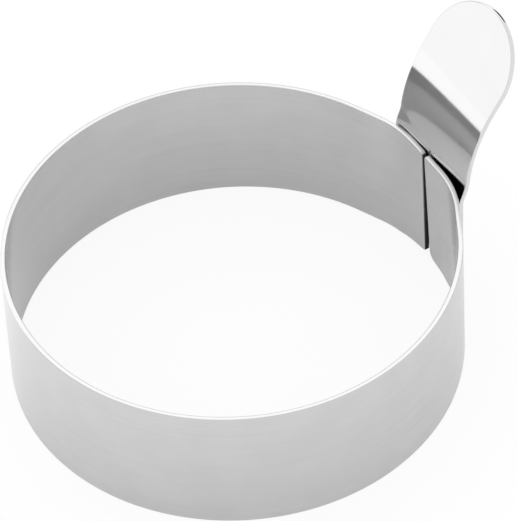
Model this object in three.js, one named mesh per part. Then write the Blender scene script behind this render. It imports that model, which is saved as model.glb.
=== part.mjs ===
// Egg ring: a steel strip rolled into an open ring, and a bent flat handle spot-welded across the
// joint of the strip. Both are sheet-metal pieces, so each one is a flat blank with deburred edges
// that is carried along a bend line. Millimetres, +Z up, handle towards +X, ring axis along Z.
import * as THREE from 'three';

// Ring band
const INNER_DIAMETER = 75;
const RING_HEIGHT = 25;
const BAND_SHEET = 0.9;

// Joint of the band, under the handle's foot
const JOINT_STAND_OUT = 0.22;         // how far the flattened ends stand outside the true circle
const JOINT_SHOULDER_RADIUS = 18;     // bend between the flattened ends and the straight run
const JOINT_FLAT_OFFSET = -0.45;      // middle of the flattened ends, from the ring's middle plane
const JOINT_EDGE_OFFSET = 0.2;        // top of the first end, from the ring's middle plane
const JOINT_LEAN = 0.65;              // how far the base of the first end is drawn back
const JOINT_GAP_TOP = 0.9;
const JOINT_GAP_BASE = 1.3;
const JOINT_PEAK = 0.82;              // how far the ends spring outward at the base
const JOINT_PEAK_REACH = 7.2;         // run of the strip on either side that follows them
const JOINT_CORNER_RADIUS = 0.6;
const JOINT_NIPPED_CORNER_RADIUS = 1.6;

// Handle
const HANDLE_SHEET = 0.9;
const HANDLE_WIDTH = 20.2;
const HANDLE_TIP_LENGTH = 10.3;       // length of the rounded end
const HANDLE_TILT = THREE.MathUtils.degToRad(3);    // the handle is welded on slightly askew
const FOOT_RAISE = 0.6;               // the foot stays clear of what the ring stands on
const FOOT_CORNER_RADIUS = 2;
const PRESS_ABOVE_RIM = 3;            // how far up the foot is pressed round the joint's shoulders
const PRESS_FADE = 5.5;               // height over which the press fades out
const BEND_RADIUS = 32;               // inner face of the curved part, which starts level with the rim
const BEND_ANGLE = THREE.MathUtils.degToRad(33.3);
const GRIP_LENGTH = 12.5;             // straight part after the curve, up to the tip

// Spot welds
const WELD_DIAMETER = 2.6;
const WELD_GAP = 0.3;                 // between the two sheets
const WELD_CLEARANCE = 0.02;          // keeps a weld's faces just off both sheets
const WELD_COLUMN_SPACING = 5.2;
const WELD_ROW_SPACING = 10;
const WELD_EDGE_MARGIN = 0.2;         // flat left beside each weld

// Deburred edges and fineness of the facets
const EDGE_RADIUS = 0.2;
const EDGE_SHARE = 1 / 3;             // most of a sheet's thickness that one edge may round off
const EDGE_STEPS = 2;
const CORNER_STEPS = 4;
const TIP_STEPS = 9;
const BAND_FACET_ANGLE = THREE.MathUtils.degToRad(3.6);
const BAND_FACET_LENGTH = 1.2;        // along the straight parts of the band
const BAND_COLUMNS = 10;              // over the band's height
const HANDLE_FACET_ANGLE = THREE.MathUtils.degToRad(2.6);
const HANDLE_FACET_LENGTH = 0.95;     // along the straight parts of the handle
const HANDLE_COLUMNS = 10;            // across the handle
const WELD_SIDES = 24;

// Derived sizes
const ringRadius = INNER_DIAMETER / 2;
const flatDistance = ringRadius + JOINT_STAND_OUT;
const flatHalf = WELD_COLUMN_SPACING / 2 + WELD_DIAMETER / 2 + WELD_EDGE_MARGIN;
const weldFace = flatDistance + BAND_SHEET;
const footFace = weldFace + WELD_GAP;
const footHeight = RING_HEIGHT - FOOT_RAISE;
const pressRadius = JOINT_SHOULDER_RADIUS + BAND_SHEET + WELD_GAP;
const weldMiddle = RING_HEIGHT / 2;

// A bend line lies in a plane and starts at a point with a heading. Its runs follow one another
// without a kink: { length } is straight, { radius, angle } is an arc, and a negative radius turns
// to the right. The returned function gives the point at a distance along the line, and the unit
// normal on the line's right-hand side.
function bendLine(start, heading, runs) {
  const legs = [];
  let from = 0;
  let point = start.clone();
  let direction = heading;
  for (const run of runs) {
    const length = run.length ?? Math.abs(run.radius) * run.angle;
    const leg = { from, length, point, direction, radius: run.radius };
    legs.push(leg);
    ({ point, direction } = alongLeg(leg, length));
    from += length;
  }
  const at = (distance) => {
    const leg = legs.findLast((candidate) => distance >= candidate.from) ?? legs[0];
    const place = alongLeg(leg, distance - leg.from);
    const normal = new THREE.Vector2(Math.sin(place.direction), -Math.cos(place.direction));
    return { point: place.point, normal };
  };
  return { at, legs, length: from };
}

function alongLeg({ point, direction, radius }, distance) {
  if (radius === undefined) {
    const step = new THREE.Vector2(Math.cos(direction), Math.sin(direction)).multiplyScalar(distance);
    return { point: point.clone().add(step), direction };
  }
  const turned = direction + distance / radius;
  const step = new THREE.Vector2(
    Math.sin(turned) - Math.sin(direction),
    Math.cos(direction) - Math.cos(turned),
  ).multiplyScalar(radius);
  return { point: point.clone().add(step), direction: turned };
}

// Distances along a bend line at which the sheet needs a crease: both ends of each run, and equal
// steps of at most facetAngle in the arcs and facetLength in the straight runs.
function creases({ legs }, facetAngle, facetLength = Infinity) {
  return legs.flatMap(({ from, length, radius }) => {
    const facet = radius === undefined ? facetLength : Math.abs(radius) * facetAngle;
    const steps = Math.max(1, Math.ceil(length / facet));
    return Array.from({ length: steps }, (_, step) => from + (length * step) / steps);
  }).slice(1);
}

// Quarter circle from the end of a blank to its long side, as [along, inward] offsets.
function cornerArc(radius) {
  return Array.from({ length: CORNER_STEPS + 1 }, (_, step) => {
    const angle = (Math.PI / 2) * (step / CORNER_STEPS);
    return [radius * (1 - Math.cos(angle)), radius * (1 - Math.sin(angle))];
  });
}

// Points that divide the rung between two points of a blank into equal columns, without its ends.
function rung(from, to, columns) {
  return Array.from({ length: columns - 1 }, (_, step) => from.clone().lerp(to, (step + 1) / columns));
}

// Closed sheet made from a flat blank. The blank's outline is given as two rails of as many points,
// low and high, each running from one end of the blank to the other. The outline is inset at both
// faces by a quarter round, the deburred edge, and every point is then carried along the bend line.
// A press, where there is one, gives the height by which it moves both faces at a point of the blank.
function bentSheet(low, high, sheet, line, columns = 1, press = () => 0) {
  const last = low.length - 1;
  const outline = [
    ...low,
    ...rung(low[last], high[last], columns),
    ...high.toReversed(),
    ...rung(high[0], low[0], columns),
  ];
  const count = outline.length;
  const outward = outline.map((point, index) => miter(
    outline[(index + count - 1) % count],
    point,
    outline[(index + 1) % count],
  ));
  const cut = (depth) => outline.map((point, index) => point.clone().addScaledVector(outward[index], -depth));

  const positions = [];
  const carry = (blank, height) => {
    const { point, normal } = line.at(blank.x);
    point.addScaledVector(normal, height + press(blank));
    positions.push(point.x, point.y, blank.y);
    return positions.length / 3 - 1;
  };
  const levels = edgeLevels(sheet);
  const loops = levels.map(({ depth, height }) => cut(depth).map((blank) => carry(blank, height)));

  const triangles = [];
  const quad = (a, b, c, d) => triangles.push(a, b, c, a, c, d);
  for (let level = 0; level < levels.length - 1; level += 1) {
    const lower = loops[level];
    const upper = loops[level + 1];
    for (let index = 0; index < count; index += 1) {
      const next = (index + 1) % count;
      quad(lower[index], lower[next], upper[next], upper[index]);
    }
  }

  // Rows of points over a face, from the low rail to the high one. The two end rows lie on the outline.
  const faceRows = (loop, { depth, height }) => {
    const blanks = cut(depth);
    return low.map((_, row) => {
      const far = count - columns - row;
      if (row === 0) return [loop[0], ...loop.slice(far).toReversed()];
      if (row === last) return loop.slice(row, far + 1);
      const inner = rung(blanks[row], blanks[far], columns).map((blank) => carry(blank, height));
      return [loop[row], ...inner, loop[far]];
    });
  };
  const firstFace = faceRows(loops[0], levels[0]);
  const secondFace = faceRows(loops.at(-1), levels.at(-1));
  for (let row = 0; row < last; row += 1) {
    for (let column = 0; column < columns; column += 1) {
      const corners = (face) => [
        face[row][column],
        face[row + 1][column],
        face[row + 1][column + 1],
        face[row][column + 1],
      ];
      quad(...corners(firstFace).toReversed());
      quad(...corners(secondFace));
    }
  }

  const geometry = new THREE.BufferGeometry();
  geometry.setAttribute('position', new THREE.Float32BufferAttribute(positions, 3));
  geometry.setIndex(triangles);
  geometry.computeVertexNormals();
  return geometry;
}

// Outward direction at a corner of an outline, long enough that both of its sides move by one.
function miter(before, point, after) {
  const first = point.clone().sub(before).normalize();
  const second = after.clone().sub(point).normalize();
  const stretch = 1 + first.dot(second);
  return new THREE.Vector2((first.y + second.y) / stretch, -(first.x + second.x) / stretch);
}

// Section of the deburred edge, from one face of the sheet to the other: how far the outline is
// drawn in, and the height above the first face.
function edgeLevels(sheet) {
  const radius = Math.min(EDGE_RADIUS, sheet * EDGE_SHARE);
  const quarter = Array.from({ length: EDGE_STEPS + 1 }, (_, step) => {
    const angle = (Math.PI / 2) * (step / EDGE_STEPS);
    return { depth: radius * (1 - Math.sin(angle)), height: radius * (1 - Math.cos(angle)) };
  });
  const mirrored = quarter.toReversed().map(({ depth, height }) => ({ depth, height: sheet - height }));
  return [...quarter, ...mirrored];
}

// Plan of the band, as a bend line along its inner face: from the square-cut end over the flattened
// joint, a shoulder and a straight run into the round, and back the same way to the other end.
function bandLine() {
  const leftFlat = flatHalf + JOINT_FLAT_OFFSET;
  const rightFlat = flatHalf - JOINT_FLAT_OFFSET;
  const left = shoulder(leftFlat);
  const right = shoulder(rightFlat);
  return bendLine(new THREE.Vector2(flatDistance, JOINT_EDGE_OFFSET), Math.PI / 2, [
    { length: leftFlat - JOINT_EDGE_OFFSET },
    { radius: JOINT_SHOULDER_RADIUS, angle: left.angle },
    { length: left.tangentRun },
    { radius: ringRadius, angle: 2 * Math.PI - left.angle - right.angle },
    { length: right.tangentRun },
    { radius: JOINT_SHOULDER_RADIUS, angle: right.angle },
    { length: rightFlat + JOINT_EDGE_OFFSET },
  ]);
}

// The strip's ends are pressed flat at the top and spring apart into a low ridge towards the base.
// This is how far outward the ridge lies at a place beside the ring's middle plane.
function jointPeak(beside, height) {
  const across = Math.max(0, 1 - Math.abs(beside) / JOINT_PEAK_REACH);
  const upright = Math.max(0, 1 - height / RING_HEIGHT);
  return JOINT_PEAK * across * upright;
}

// Angle of a shoulder that starts where the flat ends, and the straight run from it to the round.
// The run is the common tangent of the two arcs.
function shoulder(flatLength) {
  const centre = new THREE.Vector2(flatDistance - JOINT_SHOULDER_RADIUS, flatLength);
  const radiusStep = ringRadius - JOINT_SHOULDER_RADIUS;
  return {
    angle: centre.angle() + Math.acos(radiusStep / centre.length()),
    tangentRun: Math.sqrt(centre.lengthSq() - radiusStep ** 2),
  };
}

function ringBand() {
  const line = bandLine();
  const nearEnd = (height) => JOINT_LEAN * (1 - height / RING_HEIGHT);
  const gap = (height) => THREE.MathUtils.lerp(JOINT_GAP_BASE, JOINT_GAP_TOP, height / RING_HEIGHT);
  const farEnd = (height) => line.length + nearEnd(height) - gap(height);
  const nearCorner = cornerArc(JOINT_CORNER_RADIUS);
  const nippedCorner = cornerArc(JOINT_NIPPED_CORNER_RADIUS);
  const clearOfEnds = JOINT_NIPPED_CORNER_RADIUS + JOINT_GAP_BASE;
  const creaseLine = creases(line, BAND_FACET_ANGLE, BAND_FACET_LENGTH)
    .filter((along) => along > clearOfEnds && along < line.length - clearOfEnds);
  const rail = (nearArc, farArc, level) => [
    ...nearArc.map(([along, inward]) => {
      const height = level(inward);
      return new THREE.Vector2(nearEnd(height) + along, height);
    }),
    ...creaseLine.map((along) => new THREE.Vector2(along, level(0))),
    ...farArc.toReversed().map(([along, inward]) => {
      const height = level(inward);
      return new THREE.Vector2(farEnd(height) - along, height);
    }),
  ];
  const low = rail(nearCorner, nippedCorner, (inward) => inward);
  const high = rail(nearCorner, nearCorner, (inward) => RING_HEIGHT - inward);
  const peak = (blank) => {
    const beside = Math.min(blank.x + JOINT_EDGE_OFFSET, line.length - blank.x - JOINT_EDGE_OFFSET);
    return jointPeak(beside, blank.y);
  };
  return bentSheet(low, high, BAND_SHEET, line, BAND_COLUMNS, peak);
}

// Side view of the handle, as a bend line along the face that looks at the ring. Heights are from the
// middle of the welds, and the blank's width is centred on the handle's middle plane.
function handle() {
  const line = bendLine(new THREE.Vector2(footFace, FOOT_RAISE - weldMiddle), Math.PI / 2, [
    { length: footHeight },
    { radius: -BEND_RADIUS, angle: BEND_ANGLE },
    { length: GRIP_LENGTH },
  ]);
  const half = HANDLE_WIDTH / 2;
  const tipStart = line.length - HANDLE_TIP_LENGTH;
  const footCorner = cornerArc(FOOT_CORNER_RADIUS);
  const upright = creases(line, HANDLE_FACET_ANGLE, HANDLE_FACET_LENGTH)
    .filter((along) => along > FOOT_CORNER_RADIUS && along < tipStart);
  const tip = tipArc(half);
  const rail = (side) => [
    ...footCorner.map(([along, inward]) => new THREE.Vector2(along, side * (half - inward))),
    ...upright.map((along) => new THREE.Vector2(along, side * half)),
    ...tip.map(([along, across]) => new THREE.Vector2(tipStart + along, side * across)),
  ];
  return bentSheet(rail(-1), rail(1), HANDLE_SHEET, line, HANDLE_COLUMNS, footPress);
}

// Height by which a point of the handle's blank is pressed outward from the ring. The tilted foot
// follows the ridge of the joint, and beside the joint's flat it is pressed inward along the band's
// shoulders. Around the rim this fades out.
function footPress(blank) {
  const rise = blank.x + FOOT_RAISE - weldMiddle;
  const across = blank.y * Math.cos(HANDLE_TILT) + rise * Math.sin(HANDLE_TILT);
  const height = weldMiddle + rise * Math.cos(HANDLE_TILT) - blank.y * Math.sin(HANDLE_TILT);
  const beyond = Math.max(0, Math.abs(across) - flatHalf);
  const depth = pressRadius - Math.sqrt(pressRadius ** 2 - beyond ** 2);
  const share = THREE.MathUtils.smoothstep(footHeight + PRESS_ABOVE_RIM - blank.x, 0, PRESS_FADE);
  return jointPeak(JOINT_FLAT_OFFSET - across, height) - depth * share;
}

// Quarter of the elliptical tip, as [along, across] offsets from where the parallel sides end. The
// steps stop half a step short of the tip's middle, where one short facet joins the two sides.
function tipArc(half) {
  const stepAngle = Math.PI / (2 * TIP_STEPS - 1);
  const reach = HANDLE_TIP_LENGTH / Math.cos(stepAngle / 2);
  return Array.from({ length: TIP_STEPS }, (_, step) => [
    reach * Math.sin(step * stepAngle),
    half * Math.cos(step * stepAngle),
  ]);
}

// Spot weld about its own middle, for a place beside the ring's middle plane and at a height. Both of
// its faces follow the slope of the joint's ridge there.
function spotWeld(beside, height) {
  const radius = WELD_DIAMETER / 2;
  const thickness = WELD_GAP - 2 * WELD_CLEARANCE;
  const geometry = new THREE.CylinderGeometry(radius, radius, thickness, WELD_SIDES);
  geometry.rotateZ(Math.PI / 2);
  const { position } = geometry.attributes;
  for (let index = 0; index < position.count; index += 1) {
    const peak = jointPeak(beside + position.getY(index), height + position.getZ(index));
    position.setX(index, position.getX(index) + peak);
  }
  geometry.computeVertexNormals();
  return geometry;
}

// Finishes of the bare steel
const SATIN = { color: 0xc8c8c8, roughness: 0.38 };
const POLISHED = { color: 0xd8d8d8, roughness: 0.08 };
const FUSED = { color: 0x94908c, roughness: 0.55 };

function steelPiece(name, geometry, finish) {
  const material = new THREE.MeshStandardMaterial({ ...finish, metalness: 1 });
  const mesh = new THREE.Mesh(geometry, material);
  mesh.name = name;
  return mesh;
}

// Assembly about the ring's axis
const eggRing = new THREE.Group();
eggRing.add(steelPiece('ring_band', ringBand(), SATIN));

const handleMesh = steelPiece('handle', handle(), POLISHED);
handleMesh.rotation.x = Math.PI / 2 + HANDLE_TILT;
handleMesh.position.set(0, JOINT_FLAT_OFFSET, weldMiddle);
eggRing.add(handleMesh);

// Left and right are as seen from inside the ring, looking at the joint.
for (const [row, up] of [['lower', -1], ['upper', 1]]) {
  for (const [side, across] of [['right', -1], ['left', 1]]) {
    const beside = JOINT_FLAT_OFFSET + (across * WELD_COLUMN_SPACING) / 2;
    const height = weldMiddle + (up * WELD_ROW_SPACING) / 2;
    const weld = steelPiece(`spot_weld_${row}_${side}`, spotWeld(beside, height), FUSED);
    weld.position.set(weldFace + WELD_GAP / 2, beside, height);
    eggRing.add(weld);
  }
}

// The origin is the middle of the assembly's footprint, on the surface that the ring stands on.
const extent = new THREE.Box3().setFromObject(eggRing);
const footprint = extent.getCenter(new THREE.Vector3());
eggRing.position.set(-footprint.x, -footprint.y, -extent.min.z);

export default eggRing;
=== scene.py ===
"""Looks of a stainless egg ring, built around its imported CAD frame.

The ring is two sheet-metal pieces and the four welds between them: a satin strip rolled into an
open ring, and a polished handle that is bent outward and welded across the joint of the strip.
Every surface is worked out in numpy from named sizes. Metres, +Z up, handle towards +X.
"""

import logging
import math
from collections.abc import Callable, Sequence
from dataclasses import dataclass, replace
from enum import Enum

import bpy
import numpy as np
import numpy.typing as npt
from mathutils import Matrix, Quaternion, Vector


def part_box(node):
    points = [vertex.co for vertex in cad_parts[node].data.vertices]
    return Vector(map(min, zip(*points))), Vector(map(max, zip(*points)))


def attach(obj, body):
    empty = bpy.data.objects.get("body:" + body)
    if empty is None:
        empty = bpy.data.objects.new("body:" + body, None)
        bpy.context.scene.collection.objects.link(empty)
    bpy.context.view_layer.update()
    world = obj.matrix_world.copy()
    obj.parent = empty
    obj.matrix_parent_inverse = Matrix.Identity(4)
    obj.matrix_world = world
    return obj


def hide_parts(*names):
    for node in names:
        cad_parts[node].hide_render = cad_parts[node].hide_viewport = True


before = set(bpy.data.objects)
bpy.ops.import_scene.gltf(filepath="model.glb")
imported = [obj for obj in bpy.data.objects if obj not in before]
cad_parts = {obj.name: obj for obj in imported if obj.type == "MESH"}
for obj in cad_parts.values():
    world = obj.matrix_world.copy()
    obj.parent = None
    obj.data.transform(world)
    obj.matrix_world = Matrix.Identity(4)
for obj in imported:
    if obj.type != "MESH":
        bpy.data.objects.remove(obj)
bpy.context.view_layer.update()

FloatArray = npt.NDArray[np.float64]
IntArray = npt.NDArray[np.int64]
FlatHeight = Callable[[FloatArray], FloatArray]

LOG = logging.getLogger("egg_ring")
MM = 0.001
BODY = "root"
UV_NAME = "blank"
UV_SPAN = 0.25           # length of flat sheet that one unit of the UV map covers
EDGE_NAME = "edge"
CUT_AND_SHADE_NAME = "cut_and_shade"
VALUE, VECTOR = "NodeSocketFloat", "NodeSocketVector"
RING_REACH = 38.4 * MM   # from the ring's axis to the side opposite the handle

NEUTRAL = (1.0, 1.0, 1.0)
WHITE = (*NEUTRAL, 1.0)
DRAWN_DETAIL = {"Grain": 3.0, "Streak": 2.0}   # finer octaves of the noises that are drawn out
SOFT_DETAIL = 2.0                              # the same for the round noises
CLOUD_SHARE = 0.5        # of the cloudiness, against the streaks, in what moves the tone
GROUND_MARK_SIZE = 0.8   # millimetres
GROUND_WEAR = 0.3        # most that the marks take from the edge's finish
CUT_SHADE_TONE = 0.03      # a raw cut is matt; so dark a tone is painted shade of the narrow joint gap
SHEARED_ROUGHNESS = 0.6


class Slot(Enum):
    """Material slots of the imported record."""

    SATIN = "satin_steel"
    POLISHED = "polished_steel"
    WELD = "weld_steel"


class BendPlane(Enum):
    """Axes of a bend line's plane in the part frame, and the axis across the sheet."""

    PLAN = ((1, 0, 0), (0, 1, 0), (0, 0, 1))
    SIDE = ((1, 0, 0), (0, 0, 1), (0, -1, 0))


@dataclass(frozen=True)
class Leg:
    """One run of a bend line, straight where its curvature is zero."""

    length: float
    curvature: float = 0.0


class BendLine:
    """Plane line of straight runs and arcs that follow one another without a kink."""

    def __init__(self, start: Sequence[float], heading: float, legs: Sequence[Leg]) -> None:
        """Work out where each run starts and which way it heads there.

        Args:
            start: First point, in the line's plane.
            heading: Direction at the first point, in radians.
            legs: Runs in order.
        """
        lengths = np.array([leg.length for leg in legs])
        self.curvatures = np.array([leg.curvature for leg in legs])
        turns = lengths * self.curvatures
        self.bounds = np.concatenate(([0.0], np.cumsum(lengths)))
        self.headings = heading + np.concatenate(([0.0], np.cumsum(turns)[:-1]))
        steps = self._chords(lengths, self.headings, self.curvatures)
        starts = np.concatenate((np.zeros((1, 2)), np.cumsum(steps, axis=0)[:-1]))
        self.points = np.array(start) + starts

    @property
    def length(self) -> float:
        """Length of the whole line."""
        return float(self.bounds[-1])

    @staticmethod
    def _chords(lengths: FloatArray, headings: FloatArray, curvatures: FloatArray) -> FloatArray:
        """Steps from the starts of arcs to their ends.

        The chord of an arc of length l and turn a is l * sin(a / 2) / (a / 2) long and heads half a
        turn further than the arc's start. A straight run is the case of no turn.

        Args:
            lengths: Arc lengths.
            headings: Directions at the starts.
            curvatures: Signed curvatures, positive to the left.

        Returns:
            Array of plane vectors, one for each arc.
        """
        turns = lengths * curvatures
        middle = headings + turns / 2
        size = lengths * np.sinc(turns / (2 * np.pi))
        return size[..., None] * np.stack((np.cos(middle), np.sin(middle)), axis=-1)

    def at(self, distances: FloatArray) -> tuple[FloatArray, FloatArray]:
        """Points of the line, and the unit normals on its right-hand side.

        Args:
            distances: Distances along the line, of any array shape.

        Returns:
            Points and normals, with a last axis of two.
        """
        leg = np.searchsorted(self.bounds, distances, side="right") - 1
        leg = np.clip(leg, 0, len(self.curvatures) - 1)
        ahead = distances - self.bounds[leg]
        point = self.points[leg] + self._chords(ahead, self.headings[leg], self.curvatures[leg])
        heading = self.headings[leg] + ahead * self.curvatures[leg]
        return point, np.stack((np.sin(heading), -np.cos(heading)), axis=-1)

    def stations(self, step: float) -> FloatArray:
        """Distances along the line, at most a step apart, with both ends of each run among them.

        Args:
            step: Largest distance between two stations.

        Returns:
            Rising distances from 0 to the line's length.
        """
        counts = np.ceil(np.diff(self.bounds) / step).astype(int)
        runs = zip(self.bounds[:-1], self.bounds[1:], counts)
        parts = [np.linspace(a, b, n, endpoint=False) for a, b, n in runs]
        return np.concatenate((*parts, [self.length]))


@dataclass(frozen=True)
class Blank:
    """Flat cut of a sheet, as two rails of as many points from one end of the cut to the other.

    A point is (along, across). The rungs between the rails run straight over the cut.
    """

    low: FloatArray
    high: FloatArray

    def inset(self, depth: float) -> "Blank":
        """The cut with its whole outline drawn in.

        Each point moves against the sum of its two sides' outward normals, over one plus the cosine
        of the turn between them, which draws both sides in by the same depth.

        Args:
            depth: Distance between the old outline and the new one.

        Returns:
            The smaller cut.
        """
        outline = np.concatenate((self.low, self.high[::-1]))
        sides = np.roll(outline, -1, axis=0) - outline
        sides /= np.linalg.norm(sides, axis=1, keepdims=True)
        before = np.roll(sides, 1, axis=0)
        total = sides + before
        stretch = 1 + np.sum(sides * before, axis=1, keepdims=True)
        outward = np.stack((total[:, 1], -total[:, 0]), axis=1) / stretch
        moved = outline - depth * outward
        count = len(self.low)
        return Blank(moved[:count], moved[count:][::-1])

    def grid(self, shares: FloatArray) -> FloatArray:
        """Points of the cut: low rail times (1 - share) plus high rail times share, on every rung.

        Args:
            shares: Rising shares from 0 on the low rail to 1 on the high one.

        Returns:
            Array of rungs, shares and (along, across).
        """
        return self.low[:, None] * (1 - shares[:, None]) + self.high[:, None] * shares[:, None]


@dataclass(frozen=True)
class SheetStock:
    """Sheet that a piece is cut from, with the deburred edge of the cut and the mesh's fineness."""

    thickness: float = 0.9 * MM
    edge_radius: float = 0.2 * MM
    edge_steps: int = 5
    edge_onset: float = 2.0            # how soon the edge's finish is complete on its rounding
    edge_border: float = 0.06 * MM     # first row of each face, inside the deburred edge
    station_step: float = 0.5 * MM
    row_step: float = 1.2 * MM
    corner_steps: int = 10

    def edge_levels(self) -> tuple[FloatArray, FloatArray, FloatArray]:
        """Section of the deburred edge, from one face over the cut to the other.

        A quarter circle of the edge's radius rises from each face: at angle a, the outline is drawn
        in by r * (1 - sin a) and the level lies r * (1 - cos a) from the face.

        Returns:
            Inset, height above the first face and share of the edge's finish, for each level.
        """
        angle = np.linspace(0, np.pi / 2, self.edge_steps + 1)
        inset = self.edge_radius * (1 - np.sin(angle))
        height = self.edge_radius * (1 - np.cos(angle))
        share = np.minimum(1, self.edge_onset * np.sin(angle))
        return (
            np.concatenate((inset, inset[::-1])),
            np.concatenate((height, self.thickness - height[::-1])),
            np.concatenate((share, share[::-1])),
        )

    def shares(self, width: float) -> FloatArray:
        """Shares of a rung at which a face has its rows, with a narrow border row at both ends.

        Args:
            width: Length of the longest rung.

        Returns:
            Rising shares from 0 to 1.
        """
        border = self.edge_border / width
        inner = np.linspace(border, 1 - border, math.ceil(width / self.row_step))
        return np.concatenate(([0.0], inner, [1.0]))

    def corner(self, radius: float) -> FloatArray:
        """Quarter circle from the end of a cut to its long side, as (along, inward) offsets.

        Args:
            radius: Radius of the corner.

        Returns:
            One row for each point.
        """
        angle = np.linspace(0, np.pi / 2, self.corner_steps + 1)
        return radius * np.stack((1 - np.cos(angle), 1 - np.sin(angle)), axis=1)


def linked(name: str, data: bpy.types.ID) -> bpy.types.Object:
    """Make an object and link it to the scene.

    Args:
        name: Name of the object.
        data: Its mesh, camera or lamp.

    Returns:
        The object.
    """
    made = bpy.data.objects.new(name, data)
    bpy.context.scene.collection.objects.link(made)
    return made


@dataclass(frozen=True)
class Surface:
    """Closed surface of four-sided faces, with the flat place and the masks of each point."""

    points: FloatArray
    quads: IntArray
    blank: FloatArray            # (along, across) on the flat sheet
    edge: FloatArray             # 1 on the deburred edge
    cut_and_shade: FloatArray          # up to 1 where the edge is a raw cut, which also carries painted shade of the joint gap

    def turned(self, angle: float, centre: tuple[float, float]) -> "Surface":
        """The surface turned about a line along X.

        With c and s the angle's cosine and sine, a place (y, z) from the centre goes to
        (c * y - s * z, s * y + c * z).

        Args:
            angle: Turn from Y towards Z, in radians.
            centre: Place of the line in Y and Z.

        Returns:
            The turned surface.
        """
        turn = np.array(((math.cos(angle), -math.sin(angle)), (math.sin(angle), math.cos(angle))))
        points = self.points.copy()
        points[:, 1:] = np.array(centre) + (points[:, 1:] - np.array(centre)) @ turn.T
        return replace(self, points=points)

    def to_object(self, name: str, material: bpy.types.Material) -> bpy.types.Object:
        """Put the surface into a smooth mesh object at the origin.

        Args:
            name: Name of the piece.
            material: Its finish.

        Returns:
            The linked object.
        """
        mesh = bpy.data.meshes.new(name)
        mesh.from_pydata(self.points.tolist(), [], self.quads.tolist())
        mesh.shade_smooth()
        corners = self.blank[self.quads.ravel()] / UV_SPAN
        layer = mesh.uv_layers.new(name=UV_NAME)
        layer.data.foreach_set("uv", corners.astype(np.float32).ravel())
        for label, values in ((EDGE_NAME, self.edge), (CUT_AND_SHADE_NAME, self.cut_and_shade)):
            mask = mesh.attributes.new(label, "FLOAT", "POINT")
            mask.data.foreach_set("value", values.astype(np.float32))
        mesh.materials.append(material)
        return linked(name, mesh)


def border_loop(grid: npt.NDArray) -> npt.NDArray:
    """Border of a grid as one closed loop: along its first row, and back along its last row.

    Args:
        grid: Array whose first two axes are rungs and rows.

    Returns:
        The border's entries in order, each one once.
    """
    return np.concatenate((grid[:, 0], grid[-1, 1:-1], grid[::-1, -1], grid[0, -2:0:-1]))


def closed_slab(
    first: FloatArray, last: FloatArray, walls: FloatArray,
) -> tuple[FloatArray, IntArray]:
    """Close two grids of points by the loops between their borders.

    Args:
        first: First face, as rungs, rows and values of each point.
        last: Second face, of the same shape.
        walls: Loops between the two borders, as levels, points of the border and values.

    Returns:
        All points' values, and the four-sided faces, which point outwards where the first face
        looks against the direction from first to last.
    """
    rungs, rows, size = first.shape
    face = np.arange(rungs * rows).reshape(rungs, rows)
    border = border_loop(face)
    other = face + rungs * rows
    levels = 2 * rungs * rows + np.arange(walls.shape[0] * len(border)).reshape(-1, len(border))
    loops = np.concatenate((border[None], levels, border_loop(other)[None]))
    ahead = np.roll(loops, -1, axis=1)
    quads = (
        np.stack((face[:-1, :-1], face[:-1, 1:], face[1:, 1:], face[1:, :-1]), axis=-1),
        np.stack((other[:-1, :-1], other[1:, :-1], other[1:, 1:], other[:-1, 1:]), axis=-1),
        np.stack((loops[:-1], ahead[:-1], ahead[1:], loops[1:]), axis=-1),
    )
    values = np.concatenate([part.reshape(-1, size) for part in (first, last, walls)])
    return values, np.concatenate([part.reshape(-1, 4) for part in quads])


def bent_sheet(
    blank: Blank,
    line: BendLine,
    plane: BendPlane,
    stock: SheetStock,
    press: FlatHeight,
    relief: FlatHeight | None = None,
) -> Surface:
    """Closed sheet: a flat cut with deburred edges, carried along a bend line.

    A point of the cut at (along, across) and at a height above the first face goes to the line's
    point at that distance, plus the height along the line's normal, plus the width across.

    Args:
        blank: Flat cut.
        line: Bend line of the first face.
        plane: How the line's plane stands.
        stock: Sheet and fineness.
        press: Height that is added to the whole sheet, as a function of the flat place.
        relief: Height that is added to the second face, as a function of the flat place.

    Returns:
        The bent sheet.
    """
    inset, height, share = stock.edge_levels()
    cuts = [blank.inset(depth) for depth in inset]
    width = float(np.max(np.linalg.norm(blank.high - blank.low, axis=1)))
    shares = stock.shares(width)
    grids = np.stack([cut.grid(shares) for cut in cuts])
    heights = np.broadcast_to(height[:, None, None, None], (*grids.shape[:3], 1)).copy()
    masks = np.broadcast_to(share[:, None, None, None], heights.shape).copy()
    masks[[0, -1]] = 0
    heights[..., 0] += press(grids)
    if relief is not None:
        heights[-1, ..., 0] += relief(grids[-1])
    levels = np.concatenate((grids, heights, masks), axis=-1)
    walls = np.stack([border_loop(level) for level in levels[1:-1]])
    values, quads = closed_slab(levels[0], levels[-1], walls)
    flat = values[:, :2]
    point, normal = line.at(flat[:, 0])
    first, second, across = np.array(plane.value, dtype=float)
    bent = point + values[:, 2:3] * normal
    points = bent[:, :1] * first + bent[:, 1:] * second + flat[:, 1:] * across
    return Surface(points, quads, flat, values[:, 3], np.zeros(len(points)))


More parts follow.
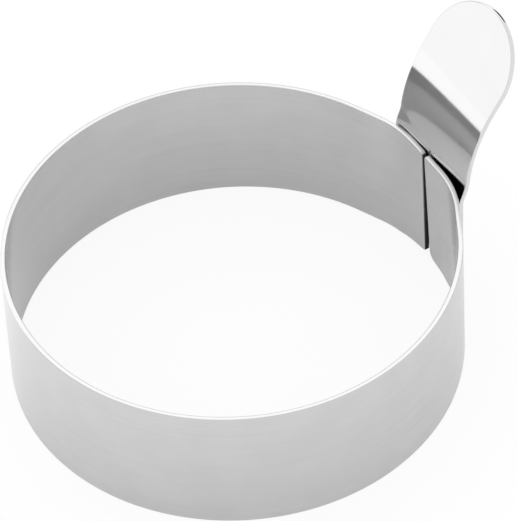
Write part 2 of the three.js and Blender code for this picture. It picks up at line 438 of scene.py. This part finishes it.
class Shading:
    """Adds nodes to one node tree and joins their sockets."""

    def __init__(self, tree: bpy.types.NodeTree) -> None:
        """Keep the tree that is built."""
        self.tree = tree

    def add(
        self, kind: str, settings: dict[str, object] | None = None, **inputs: object,
    ) -> bpy.types.Node:
        """Add one node.

        Args:
            kind: Blender's name of the node type.
            settings: Properties of the node.
            inputs: Values or output sockets for its inputs, with _ for a space in the input's name.

        Returns:
            The node.
        """
        node = self.tree.nodes.new(kind)
        for name, value in (settings or {}).items():
            setattr(node, name, value)
        for name, value in inputs.items():
            self.feed(node.inputs[name.replace("_", " ")], value)
        return node

    def feed(self, socket: bpy.types.NodeSocket, value: object) -> None:
        """Join an output to an input, or set the input's own value.

        Args:
            socket: The input.
            value: Output socket or plain value.
        """
        if isinstance(value, bpy.types.NodeSocket):
            self.tree.links.new(value, socket)
        else:
            socket.default_value = value

    def math(self, operation: str, first: object, second: object) -> bpy.types.NodeSocket:
        """Calculate with a Math node.

        Args:
            operation: Blender's name of the operation.
            first: Value or output socket.
            second: The same, for the second input.

        Returns:
            The result's socket.
        """
        node = self.add("ShaderNodeMath", {"operation": operation})
        self.feed(node.inputs[0], first)
        self.feed(node.inputs[1], second)
        return node.outputs[0]

    def ranged(self, value: bpy.types.NodeSocket, low: float, high: float) -> bpy.types.NodeSocket:
        """A value from 0 to 1, moved to the range from low to high."""
        return self.add("ShaderNodeMapRange", Value=value, To_Min=low, To_Max=high).outputs[0]

    def blend(
        self, share: object, first: object, second: object, colour: bool,
    ) -> bpy.types.NodeSocket:
        """Mix of two values or two colours.

        Args:
            share: Share of the second one.
            first: Value, colour or socket at share 0.
            second: The same at share 1.
            colour: True for colours.

        Returns:
            The mixed output.
        """
        kind, suffix = ("RGBA", "Color") if colour else ("FLOAT", "Float")
        node = self.add("ShaderNodeMix", {"data_type": kind})
        sockets = {socket.identifier: socket for socket in node.inputs}
        self.feed(sockets["Factor_Float"], share)
        self.feed(sockets[f"A_{suffix}"], first)
        self.feed(sockets[f"B_{suffix}"], second)
        return next(s for s in node.outputs if s.identifier == f"Result_{suffix}")

    def mask(self, name: str) -> bpy.types.NodeSocket:
        """Value of one of the mesh's masks."""
        return self.add("ShaderNodeAttribute", {"attribute_name": name}).outputs["Fac"]

    def noise(self, place: object, scale: object, detail: float) -> bpy.types.NodeSocket:
        """Noise from 0 to 1 at a place."""
        node = self.add("ShaderNodeTexNoise", Vector=place, Scale=scale, Detail=detail)
        return node.outputs["Fac"]

    def show(self, shader: bpy.types.Node) -> None:
        """Give a shader's first output to the material's surface."""
        self.add("ShaderNodeOutputMaterial", Surface=shader.outputs[0])


def new_material(name: str) -> tuple[bpy.types.Material, Shading]:
    """Start a material with an empty node tree.

    Args:
        name: Name of the material.

    Returns:
        The material, and the shading of its tree.
    """
    material = bpy.data.materials.new(name)
    material.use_nodes = True
    material.node_tree.nodes.clear()
    return material, Shading(material.node_tree)


def grey(tone: float, tint: Sequence[float] = NEUTRAL) -> tuple[float, ...]:
    """A reflectance as an opaque colour, with a tint."""
    return (*(tone * share for share in tint), 1.0)


def new_group(
    name: str, inputs: dict[str, str], outputs: Sequence[str],
) -> tuple[Shading, dict[str, bpy.types.NodeSocket]]:
    """Start a shader node group with named sockets.

    Args:
        name: Name of the group.
        inputs: Socket types by input name.
        outputs: Names of the outputs, all plain values.

    Returns:
        The group's shading, and its inner sockets by name.
    """
    tree = bpy.data.node_groups.new(name, "ShaderNodeTree")
    for label, kind in inputs.items():
        tree.interface.new_socket(label, in_out="INPUT", socket_type=kind)
    for label in outputs:
        tree.interface.new_socket(label, in_out="OUTPUT", socket_type=VALUE)
    source = tree.nodes.new("NodeGroupInput")
    sink = tree.nodes.new("NodeGroupOutput")
    sockets = {label: source.outputs[label] for label in inputs}
    sockets.update({label: sink.inputs[label] for label in outputs})
    return Shading(tree), sockets


class EffectGroups:
    """Shader node groups that more than one finish uses, built once."""

    def __init__(self) -> None:
        """Build every group."""
        self.grain = self._rolled_grain()
        self.rim = self._ground_edge()

    @staticmethod
    def _rolled_grain() -> bpy.types.NodeTree:
        """Marks that rolling and polishing leave in a sheet.

        Noise is drawn out along the sheet for the fine grain and for the longer streaks, and left
        round for the soft cloudiness. The detail of a drawn noise is also its third place, which
        sets the two apart. Place is in millimetres on the flat sheet.

        Returns:
            The node group.
        """
        inputs = {
            "Place": VECTOR, "Grain Length": VALUE, "Grain Pitch": VALUE,
            "Streak Length": VALUE, "Streak Pitch": VALUE, "Cloud Size": VALUE,
        }
        shading, ends = new_group("rolled_grain", inputs, ("Grain", "Streak", "Cloud"))
        place = shading.add("ShaderNodeSeparateXYZ", Vector=ends["Place"]).outputs
        for label, detail in DRAWN_DETAIL.items():
            along = shading.math("DIVIDE", place["X"], ends[f"{label} Length"])
            across = shading.math("DIVIDE", place["Y"], ends[f"{label} Pitch"])
            drawn = shading.add("ShaderNodeCombineXYZ", X=along, Y=across, Z=detail)
            shading.feed(ends[label], shading.noise(drawn.outputs[0], 1.0, detail))
        size = shading.math("DIVIDE", 1.0, ends["Cloud Size"])
        shading.feed(ends["Cloud"], shading.noise(ends["Place"], size, SOFT_DETAIL))
        return shading.tree

    @staticmethod
    def _ground_edge() -> bpy.types.NodeTree:
        """Brightness of a deburred edge: its mask, broken up by the marks of the grinding.

        Returns:
            The node group.
        """
        inputs = {"Edge": VALUE, "Place": VECTOR, "Mark Size": VALUE, "Wear": VALUE}
        shading, ends = new_group("ground_edge", inputs, ("Mask",))
        size = shading.math("DIVIDE", 1.0, ends["Mark Size"])
        marks = shading.noise(ends["Place"], size, SOFT_DETAIL)
        lost = shading.math("MULTIPLY", marks, ends["Wear"])
        kept = shading.math("SUBTRACT", 1.0, lost)
        shading.feed(ends["Mask"], shading.math("MULTIPLY", ends["Edge"], kept))
        return shading.tree


@dataclass(frozen=True)
class SteelFinish:
    """Bare steel: its reflectance, how smooth it is, and the marks that working it has left."""

    name: str
    tone: float                  # reflectance, from tone less spread to tone plus spread
    tone_spread: float
    tint: tuple[float, float, float]
    roughness: float
    roughness_spread: float
    edge_tone: float
    edge_roughness: float
    grain_length: float          # millimetres on the flat sheet, as the next four
    grain_pitch: float
    streak_length: float
    streak_pitch: float
    cloud_size: float
    grain_height: float          # metres
    cloud_height: float

    def material(self, groups: EffectGroups) -> bpy.types.Material:
        """Procedural material of the finish.

        The grain moves the roughness, the streaks and the cloudiness move the tone, and grain and
        cloudiness bend the surface slightly. The deburred edge has its own tone and roughness. The
        raw cut has its own roughness and a near-black tone that is painted shade of the joint gap.

        Args:
            groups: Shared node groups.

        Returns:
            The new material.
        """
        material, shading = new_material(self.name)
        uv = shading.add("ShaderNodeUVMap", {"uv_map": UV_NAME})
        scale = UV_SPAN / MM
        mapped = shading.add("ShaderNodeMapping", Vector=uv.outputs[0], Scale=(scale, scale, scale))
        place = mapped.outputs[0]
        grain = shading.add(
            "ShaderNodeGroup", {"node_tree": groups.grain}, Place=place,
            Grain_Length=self.grain_length, Grain_Pitch=self.grain_pitch,
            Streak_Length=self.streak_length, Streak_Pitch=self.streak_pitch,
            Cloud_Size=self.cloud_size,
        ).outputs
        edge = shading.add(
            "ShaderNodeGroup", {"node_tree": groups.rim}, Edge=shading.mask(EDGE_NAME), Place=place,
            Mark_Size=GROUND_MARK_SIZE, Wear=GROUND_WEAR,
        ).outputs["Mask"]
        cut_and_shade = shading.mask(CUT_AND_SHADE_NAME)

        marks = shading.blend(CLOUD_SHARE, grain["Streak"], grain["Cloud"], colour=False)
        dull = grey(self.tone - self.tone_spread, self.tint)
        bright = grey(self.tone + self.tone_spread, self.tint)
        face = shading.blend(marks, dull, bright, colour=True)
        ground = shading.blend(edge, face, grey(self.edge_tone, self.tint), colour=True)
        # the raw cut's near-black tone is painted shade of the narrow joint gap
        colour = shading.blend(cut_and_shade, ground, grey(CUT_SHADE_TONE, self.tint), colour=True)

        smooth = self.roughness - self.roughness_spread
        rough = shading.ranged(grain["Grain"], smooth, self.roughness + self.roughness_spread)
        deburred = shading.blend(edge, rough, self.edge_roughness, colour=False)
        roughness = shading.blend(cut_and_shade, deburred, SHEARED_ROUGHNESS, colour=False)

        fine = shading.add("ShaderNodeBump", Height=grain["Grain"], Distance=self.grain_height)
        wave = shading.add(
            "ShaderNodeBump", Height=grain["Cloud"], Distance=self.cloud_height,
            Normal=fine.outputs[0],
        )
        steel = shading.add(
            "ShaderNodeBsdfPrincipled", Metallic=1.0, Base_Color=colour, Roughness=roughness,
            Normal=wave.outputs[0],
        )
        shading.show(steel)
        return material


SATIN_STEEL = SteelFinish(
    name="satin_rolled_steel", tone=0.63, tone_spread=0.06, tint=NEUTRAL,
    roughness=0.14, roughness_spread=0.04, edge_tone=0.59, edge_roughness=0.25,
    grain_length=3.0, grain_pitch=0.09, streak_length=30.0, streak_pitch=0.8, cloud_size=7.0,
    grain_height=1.5e-6, cloud_height=2.0e-6,
)
POLISHED_STEEL = SteelFinish(
    name="polished_steel", tone=0.6, tone_spread=0.02, tint=NEUTRAL,
    roughness=0.09, roughness_spread=0.03, edge_tone=0.74, edge_roughness=0.12,
    grain_length=2.0, grain_pitch=0.05, streak_length=14.0, streak_pitch=0.4, cloud_size=6.0,
    grain_height=1.0e-7, cloud_height=3.0e-6,
)
WELD_STEEL = SteelFinish(
    name="fused_steel", tone=0.4, tone_spread=0.12, tint=(1.05, 1.0, 0.94),
    roughness=0.5, roughness_spread=0.12, edge_tone=0.45, edge_roughness=0.5,
    grain_length=0.3, grain_pitch=0.25, streak_length=0.6, streak_pitch=0.5, cloud_size=0.9,
    grain_height=6.0e-6, cloud_height=1.0e-5,
)


def mounted(piece: bpy.types.Object, node: str) -> bpy.types.Object:
    """Let a piece ride on the part in place of a CAD node.

    Args:
        piece: New piece, in place.
        node: CAD node that it stands for.

    Returns:
        The same piece.
    """
    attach(piece, BODY)
    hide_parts(node)
    return piece


@dataclass(frozen=True)
class JointRidge:
    """Low ridge into which the ends of the strip spring apart towards the base of their joint."""

    peak: float = 0.82 * MM
    reach: float = 7.2 * MM      # to both sides of the ring's middle plane
    height: float = 25.0 * MM

    def outward(self, beside: FloatArray, height: FloatArray) -> FloatArray:
        """How far outward the ridge lies: peak * (1 - |y| / reach) * (1 - z / height), or nothing.

        Args:
            beside: Places y beside the ring's middle plane.
            height: Heights z above the base.

        Returns:
            Distances outward.
        """
        across = np.maximum(0, 1 - np.abs(beside) / self.reach)
        upright = np.maximum(0, 1 - height / self.height)
        return self.peak * across * upright


@dataclass(frozen=True)
class RingBand:
    """Strip of satin sheet rolled into an open ring, flattened under the handle's foot."""

    axis_x: float
    radius: float = 37.49 * MM
    height: float = 25.0 * MM
    flat_distance: float = 37.72 * MM    # from the axis to the flattened ends' inner face
    left_flat: float = 3.65 * MM         # how far the flat goes from the middle plane
    right_flat: float = 4.55 * MM
    shoulder_radius: float = 18.0 * MM
    edge_offset: float = 0.2 * MM        # from the middle plane to where the line starts and ends
    lean: float = 0.65 * MM              # how far the ends shift from the rim to the base
    gap_top: float = 0.6 * MM
    gap_base: float = 1.3 * MM
    corner_radius: float = 0.6 * MM
    nipped_radius: float = 1.6 * MM
    cut_share: float = 0.5               # part of the ends' rounding that shows the raw cut
    shade_fade: float = 0.65               # how much the cut's painted shade lessens from the base to the rim
    ridge: JointRidge = JointRidge()
    stock: SheetStock = SheetStock()

    @property
    def outer_face(self) -> float:
        """Distance of the flattened ends' outer face from the ring's axis."""
        return self.flat_distance + self.stock.thickness

    def line(self) -> BendLine:
        """Plan of the inner face: flat, shoulder, straight run, round, and back to the other end.

        The straight run is the common tangent of the shoulder and the round. The radii to its ends
        stand to the line between the two centres at an angle whose cosine is the difference of the
        radii over the centres' distance.

        Returns:
            The bend line in the plan.
        """
        drop = self.radius - self.shoulder_radius
        flats = np.array([self.left_flat, self.right_flat])
        ahead = self.flat_distance - self.shoulder_radius
        span = np.hypot(ahead, flats)
        angles = np.arctan2(flats, ahead) + np.arccos(drop / span)
        runs = np.sqrt(span ** 2 - drop ** 2)
        bend, curl = 1 / self.shoulder_radius, 1 / self.radius
        return BendLine((self.axis_x + self.flat_distance, self.edge_offset), math.pi / 2, (
            Leg(self.left_flat - self.edge_offset),
            Leg(angles[0] * self.shoulder_radius, bend),
            Leg(runs[0]),
            Leg((2 * math.pi - angles.sum()) * self.radius, curl),
            Leg(runs[1]),
            Leg(angles[1] * self.shoulder_radius, bend),
            Leg(self.right_flat + self.edge_offset),
        ))

    def near_end(self, across: FloatArray) -> FloatArray:
        """Place of the first end along the line, which is drawn back towards the base."""
        return self.lean * (1 - across / self.height)

    def far_end(self, line: BendLine, across: FloatArray) -> FloatArray:
        """Place of the second end along the line, a tapered gap away from the first."""
        gap = self.gap_base + (self.gap_top - self.gap_base) * across / self.height
        return line.length + self.near_end(across) - gap

    def blank(self, line: BendLine) -> Blank:
        """Flat strip with two ends that lean a little, the second with one nipped corner.

        Args:
            line: Bend line, which gives the strip's length.

        Returns:
            The cut.
        """
        near = self.stock.corner(self.corner_radius)
        nipped = self.stock.corner(self.nipped_radius)
        along = line.stations(self.stock.station_step)
        clear = self.gap_base + nipped[-1, 0]
        along = along[(along > clear) & (along < line.length - clear)]

        def rail(far: FloatArray, base: float, inward: float) -> FloatArray:
            """One long side, with its two rounded corners.

            Args:
                far: Corner at the second end.
                base: Place of the side across the strip.
                inward: 1 where the strip lies above the side, and -1 where it lies below.

            Returns:
                Points from the first end to the second.
            """
            first = base + inward * near[:, 1]
            last = base + inward * far[::-1, 1]
            start = np.stack((self.near_end(first) + near[:, 0], first), axis=1)
            middle = np.stack((along, np.full_like(along, base)), axis=1)
            end = self.far_end(line, last) - far[::-1, 0]
            return np.concatenate((start, middle, np.stack((end, last), axis=1)))

        return Blank(rail(nipped, 0.0, 1.0), rail(near, self.height, -1.0))

    def build(self, groups: EffectGroups) -> bpy.types.Object:
        """Make the band and put it in its node's place.

        Args:
            groups: Shared node groups.

        Returns:
            The finished piece.
        """
        line = self.line()

        def peak(flat: FloatArray) -> FloatArray:
            """Height of the joint's ridge.

            Args:
                flat: Places on the flat strip, (along, across).

            Returns:
                Height that is added to the sheet.
            """
            near = flat[..., 0] + self.edge_offset
            far = line.length - flat[..., 0] - self.edge_offset
            return self.ridge.outward(np.minimum(near, far), flat[..., 1])

        bent = bent_sheet(self.blank(line), line, BendPlane.PLAN, self.stock, peak)
        inside = bent.blank[:, 0] - self.near_end(bent.blank[:, 1])
        beyond = self.far_end(line, bent.blank[:, 1]) - bent.blank[:, 0]
        cut = np.minimum(inside, beyond) < self.cut_share * self.stock.edge_radius
        # painted shade of the joint gap on the raw cut, darker towards the base
        base_shade = 1 - self.shade_fade * bent.blank[:, 1] / self.height
        surface = replace(bent, cut_and_shade=bent.edge * cut * base_shade)
        piece = surface.to_object("rolled_band", SATIN_STEEL.material(groups))
        return mounted(piece, "ring_band")


@dataclass(frozen=True)
class WeldPattern:
    """Four spot welds between the flattened ends of the band and the handle's foot."""

    first_face: float
    ridge: JointRidge
    gap: float = 0.3 * MM
    clearance: float = 0.02 * MM
    diameter: float = 2.6 * MM
    neck: float = 0.12           # how far a plug draws in halfway, as a share of its radius
    middle_y: float = -0.45 * MM
    middle_z: float = 12.5 * MM
    column_spacing: float = 5.2 * MM
    row_spacing: float = 10.0 * MM
    cells: int = 12
    levels: int = 5

    def centres(self) -> dict[str, tuple[float, float]]:
        """Middles of the welds.

        Returns:
            Place of each weld across the foot and up it, by the name of its node.
        """
        columns = {"right": -self.column_spacing / 2, "left": self.column_spacing / 2}
        rows = {"lower": -self.row_spacing / 2, "upper": self.row_spacing / 2}
        return {
            f"spot_weld_{row}_{side}": (self.middle_y + across, self.middle_z + up)
            for row, up in rows.items() for side, across in columns.items()
        }

    def surface(self, centre: tuple[float, float]) -> Surface:
        """One weld: a round plug that is flat against both sheets and drawn in between them.

        A square grid of u and v from -1 to 1 becomes a disc at u * sqrt(1 - v^2 / 2) and
        v * sqrt(1 - u^2 / 2). Its border, drawn in by the neck times one minus the square of the
        height from -1 to 1, makes the side. The whole plug follows the slope of the joint's ridge.

        Args:
            centre: Place across the foot and up it.

        Returns:
            The plug.
        """
        step = np.linspace(-1, 1, self.cells + 1)
        u, v = np.meshgrid(step, step, indexing="ij")
        disc = np.stack((u * np.sqrt(1 - v ** 2 / 2), v * np.sqrt(1 - u ** 2 / 2)), axis=-1)
        height = np.linspace(-1, 1, self.levels + 2)
        drawn = 1 - self.neck * (1 - height ** 2)
        rings = drawn[1:-1, None, None] * border_loop(disc)
        faces = [
            np.concatenate((disc, np.full((*u.shape, 1), end)), axis=-1) for end in (-1.0, 1.0)
        ]
        tops = np.broadcast_to(height[1:-1, None, None], (*rings.shape[:2], 1))
        values, quads = closed_slab(faces[0], faces[1], np.concatenate((rings, tops), axis=-1))
        flat = np.array(centre) + values[:, :2] * self.diameter / 2
        depth = self.first_face + self.gap / 2 + values[:, 2] * (self.gap / 2 - self.clearance)
        depth += self.ridge.outward(flat[:, 0], flat[:, 1])
        points = np.concatenate((depth[:, None], flat), axis=1)
        unmarked = np.zeros(len(points))
        return Surface(points, quads, flat, unmarked, unmarked)

    def build(self, groups: EffectGroups) -> list[bpy.types.Object]:
        """Make the welds and put each in its node's place.

        Args:
            groups: Shared node groups.

        Returns:
            The finished pieces.
        """
        material = WELD_STEEL.material(groups)
        return [
            mounted(self.surface(centre).to_object(f"{node}_plug", material), node)
            for node, centre in self.centres().items()
        ]


@dataclass(frozen=True)
class Handle:
    """Polished tab that stands on the joint of the band and leans outward to a round end.

    It is welded on slightly askew, so it is turned by its tilt about the middle of the welds.
    """

    foot_face: float
    welds: WeldPattern
    foot_raise: float = 0.6 * MM
    foot_height: float = 24.4 * MM
    bend_radius: float = 32.0 * MM
    bend_angle: float = math.radians(33.3)
    grip_length: float = 12.47 * MM
    width: float = 20.2 * MM
    tip_length: float = 10.3 * MM
    tilt: float = math.radians(3.0)
    foot_corner: float = 2.0 * MM
    wrap_flat: float = 4.1 * MM      # half of the foot's width that stays flat
    wrap_radius: float = 19.2 * MM   # of the press round the shoulders beside it
    wrap_end: float = 3.0 * MM       # how far above the foot the press ends
    wrap_fade: float = 5.5 * MM      # height over which it fades out
    lip_seat: float = 0.1 * MM       # how much nearer to the band the foot sits around the rim
    lip_skew: float = 0.035          # slope across the foot there, outward to the right
    lip_reach: float = 5.0 * MM      # how far to the left the slope goes on
    tip_steps: int = 40
    dent_diameter: float = 4.2 * MM
    dent_depth: float = 0.1 * MM
    stock: SheetStock = SheetStock(station_step=0.4 * MM, row_step=0.4 * MM)

    @property
    def pivot(self) -> tuple[float, float]:
        """Middle of the welds, in Y and Z."""
        return self.welds.middle_y, self.welds.middle_z

    def line(self) -> BendLine:
        """Side view of the face that looks at the ring: upright foot, long curve, straight grip.

        Returns:
            The bend line in the side view.
        """
        return BendLine((self.foot_face, self.foot_raise), math.pi / 2, (
            Leg(self.foot_height),
            Leg(self.bend_radius * self.bend_angle, -1 / self.bend_radius),
            Leg(self.grip_length),
        ))

    def blank(self, line: BendLine) -> Blank:
        """Flat tab: rounded corners at the foot, parallel sides and half an ellipse at the tip.

        Args:
            line: Bend line, which gives the tab's length.

        Returns:
            The cut.
        """
        half = self.width / 2
        start = self.stock.corner(self.foot_corner)
        tip_start = line.length - self.tip_length
        along = line.stations(self.stock.station_step)
        along = along[(along > start[-1, 0]) & (along < tip_start)]
        step = math.pi / (2 * self.tip_steps - 1)
        angle = step * np.arange(self.tip_steps)
        reach = self.tip_length / math.cos(step / 2)
        side = np.concatenate((
            np.stack((start[:, 0], half - start[:, 1]), axis=1),
            np.stack((along, np.full_like(along, half)), axis=1),
            np.stack((tip_start + reach * np.sin(angle), half * np.cos(angle)), axis=1),
        ))
        return Blank(side * (1, -1), side)

    def wrap(self, flat: FloatArray) -> FloatArray:
        """Press of the foot over the ridge and round the shoulders of the band's joint.

        Beyond the flat of the joint by u, the foot lies R - sqrt(R^2 - u^2) nearer to the ring's
        axis. The place beside the joint's middle is that of the tilted handle. Above the rim the
        press fades out by the smooth step s = 3t^2 - 2t^3. Around the rim, by 4s(1 - s), the foot
        sits a little nearer to the band and slightly skewed. The ridge is added to it.

        Args:
            flat: Places on the flat tab, (along, across).

        Returns:
            Height that is added to the sheet.
        """
        cosine, sine = math.cos(self.tilt), math.sin(self.tilt)
        rise = flat[..., 0] + self.foot_raise - self.welds.middle_z
        across = flat[..., 1] * cosine + rise * sine
        height = self.welds.middle_z + rise * cosine - flat[..., 1] * sine
        ridge = self.welds.ridge.outward(self.welds.middle_y - across, height)
        beyond = np.maximum(0, np.abs(across) - self.wrap_flat)
        depth = self.wrap_radius - np.sqrt(self.wrap_radius ** 2 - beyond ** 2)
        share = np.clip((self.foot_height + self.wrap_end - flat[..., 0]) / self.wrap_fade, 0, 1)
        eased = share ** 2 * (3 - 2 * share)
        skewed = self.lip_skew * np.maximum(across, -self.lip_reach)
        seat = 4 * eased * (1 - eased) * (skewed - self.lip_seat)
        return ridge + seat - depth * eased

    def dents(self, flat: FloatArray) -> FloatArray:
        """Shallow electrode marks on the foot's outer face, one over each weld.

        At a share t of the mark's radius the face is lowered by the depth times (1 - t^2)^2.

        Args:
            flat: Places on the flat tab, (along, across).

        Returns:
            Height that is added to the face.
        """
        cosine, sine = math.cos(self.tilt), math.sin(self.tilt)
        beside = np.array(list(self.welds.centres().values())) - self.pivot
        y, z = np.array(((cosine, sine), (-sine, cosine))) @ beside.T
        centres = np.stack((z + self.pivot[1] - self.foot_raise, -y), axis=1)
        away = np.linalg.norm(flat[..., None, :] - centres, axis=-1).min(axis=-1)
        share = np.minimum(1, away / (self.dent_diameter / 2))
        return -self.dent_depth * (1 - share ** 2) ** 2

    def build(self, groups: EffectGroups) -> bpy.types.Object:
        """Make the handle and put it in its node's place.

        Args:
            groups: Shared node groups.

        Returns:
            The finished piece.
        """
        line = self.line()
        upright = bent_sheet(
            self.blank(line), line, BendPlane.SIDE, self.stock, self.wrap, self.dents,
        )
        centred = replace(upright, points=upright.points + (0.0, self.welds.middle_y, 0.0))
        surface = centred.turned(self.tilt, self.pivot)
        piece = surface.to_object("bent_handle", POLISHED_STEEL.material(groups))
        return mounted(piece, "handle")


@dataclass(frozen=True)
class PhotoCamera:
    """Long lens at the photograph's viewing angle, placed from the foot of the ring's axis."""

    axis_x: float
    place: tuple[float, float, float] = (-269.60 * MM, -488.37 * MM, 618.23 * MM)
    aim: tuple[float, float, float] = (5.93 * MM, 1.65 * MM, 16.42 * MM)
    roll: float = math.radians(-3.29)
    lens: float = 339.97         # millimetres, as the sensor's width
    sensor: float = 36.0
    nearest: float = 10.0 * MM   # nothing nearer than this is seen

    def build(self) -> None:
        """Make the scene's camera."""
        data = bpy.data.cameras.new("photo_camera")
        data.lens = self.lens
        data.sensor_width = self.sensor
        data.clip_start = self.nearest
        camera = linked("photo_camera", data)
        camera.location = Vector(self.place) + Vector((self.axis_x, 0, 0))
        look = (Vector(self.aim) - Vector(self.place)).to_track_quat("-Z", "Y")
        camera.rotation_mode = "QUATERNION"
        camera.rotation_quaternion = look @ Quaternion((0, 0, 1), self.roll)
        bpy.context.scene.camera = camera


@dataclass(frozen=True)
class Softbox:
    """Oblong area lamp that looks at a height on the upright line through the origin."""

    name: str
    place: tuple[float, float, float]
    aim_height: float
    width: float
    height: float
    radiance: float

    def build(self) -> None:
        """Make the lamp. Its power is pi times its area times its radiance."""
        data = bpy.data.lights.new(self.name, "AREA")
        data.shape = "RECTANGLE"
        data.size = self.width
        data.size_y = self.height
        data.energy = math.pi * self.width * self.height * self.radiance
        lamp = linked(self.name, data)
        lamp.location = self.place
        lamp.rotation_mode = "QUATERNION"
        view = Vector((0, 0, self.aim_height)) - Vector(self.place)
        lamp.rotation_quaternion = view.to_track_quat("-Z", "Y")


def stage_card(name: str, corners: FloatArray, material: bpy.types.Material) -> None:
    """Make one flat four-sided thing that belongs to the studio.

    Args:
        name: Its name.
        corners: Four places, in order around the card.
        material: Its colour.
    """
    mesh = bpy.data.meshes.new(name)
    mesh.from_pydata(corners.tolist(), [], [(0, 1, 2, 3)])
    mesh.materials.append(material)
    card = linked(name, mesh)


@dataclass(frozen=True)
class DarkFlag:
    """Upright dark card outside the picture, which only the metal's edges show."""

    place: tuple[float, float, float] = (0.305, 0.15, 0.05)
    width: float = 0.11
    height: float = 0.085
    tone: float = 0.02

    def build(self) -> None:
        """Make the card, square to the way from the object to it."""
        away = np.array(self.place[:2])
        across = np.array((-away[1], away[0], 0.0)) / np.linalg.norm(away) * self.width / 2
        up = np.array((0.0, 0.0, self.height / 2))
        sides = np.stack((-across - up, across - up, across + up, up - across))
        material, shading = new_material("dark_card")
        shading.show(shading.add("ShaderNodeBsdfDiffuse", Color=grey(self.tone)))
        stage_card("dark_flag", np.array(self.place) + sides, material)


@dataclass(frozen=True)
class Studio:
    """White floor, white surroundings, soft lamps and a dark flag."""

    floor_half: float = 3.0
    floor_drop: float = 0.01 * MM
    floor_tone: float = 0.97
    floor_white: float = 0.88    # share of plain white in what the camera sees of the floor
    mirrored_white: float = 0.1  # the same in what the metal shows of it
    surround: float = 1.0
    lamps: tuple[Softbox, ...] = (
        Softbox(
            "back_softbox", place=(0.25, 0.71, 0.93), aim_height=0.0,
            width=1.9, height=0.5, radiance=0.7,
        ),
        Softbox(
            "left_panel", place=(-0.071, 0.0815, 0.04), aim_height=0.04,
            width=0.08, height=0.08, radiance=0.55,
        ),
    )
    flag: DarkFlag = DarkFlag()

    def build(self) -> None:
        """Make the world, the lamps, the flag and the floor, and set the plain view transform."""
        bpy.context.scene.view_settings.view_transform = "Standard"
        world = bpy.data.worlds.new("white_surround")
        world.use_nodes = True
        background = world.node_tree.nodes["Background"]
        background.inputs["Color"].default_value = WHITE
        background.inputs["Strength"].default_value = self.surround
        bpy.context.scene.world = world
        for lamp in self.lamps:
            lamp.build()
        self.flag.build()
        corners = np.array([(-1, -1), (1, -1), (1, 1), (-1, 1)]) * self.floor_half
        points = np.concatenate((corners, np.full((4, 1), -self.floor_drop)), axis=1)
        stage_card("studio_floor", points, self._paper())

    def _paper(self) -> bpy.types.Material:
        """White paper, which the camera and mirrors see mixed with plain white.

        Returns:
            The new material.
        """
        material, shading = new_material("white_paper")
        paper = shading.add("ShaderNodeBsdfDiffuse", Color=grey(self.floor_tone))
        white = shading.add("ShaderNodeEmission", Color=WHITE, Strength=1.0)
        ray = shading.add("ShaderNodeLightPath").outputs
        mirrored = shading.math("MAXIMUM", ray["Is Glossy Ray"], ray["Is Transmission Ray"])
        direct = shading.math("MULTIPLY", ray["Is Camera Ray"], self.floor_white)
        indirect = shading.math("MULTIPLY", mirrored, self.mirrored_white)
        mix = shading.add("ShaderNodeMixShader", Fac=shading.math("MAXIMUM", direct, indirect))
        shading.feed(mix.inputs[1], paper.outputs[0])
        shading.feed(mix.inputs[2], white.outputs[0])
        shading.show(mix)
        return material


def main() -> None:
    """Build the studio and the pieces in order, and report each piece."""
    logging.basicConfig(level=logging.INFO)
    band = RingBand(axis_x=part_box("ring_band")[0].x + RING_REACH)
    Studio().build()
    PhotoCamera(band.axis_x).build()
    groups = EffectGroups()
    welds = WeldPattern(band.axis_x + band.outer_face, band.ridge)
    handle = Handle(foot_face=welds.first_face + welds.gap, welds=welds)
    pieces = [band.build(groups), handle.build(groups), *welds.build(groups)]
    for piece in pieces:
        LOG.info("%s: %d faces", piece.name, len(piece.data.polygons))


if __name__ == "__main__":
    main()
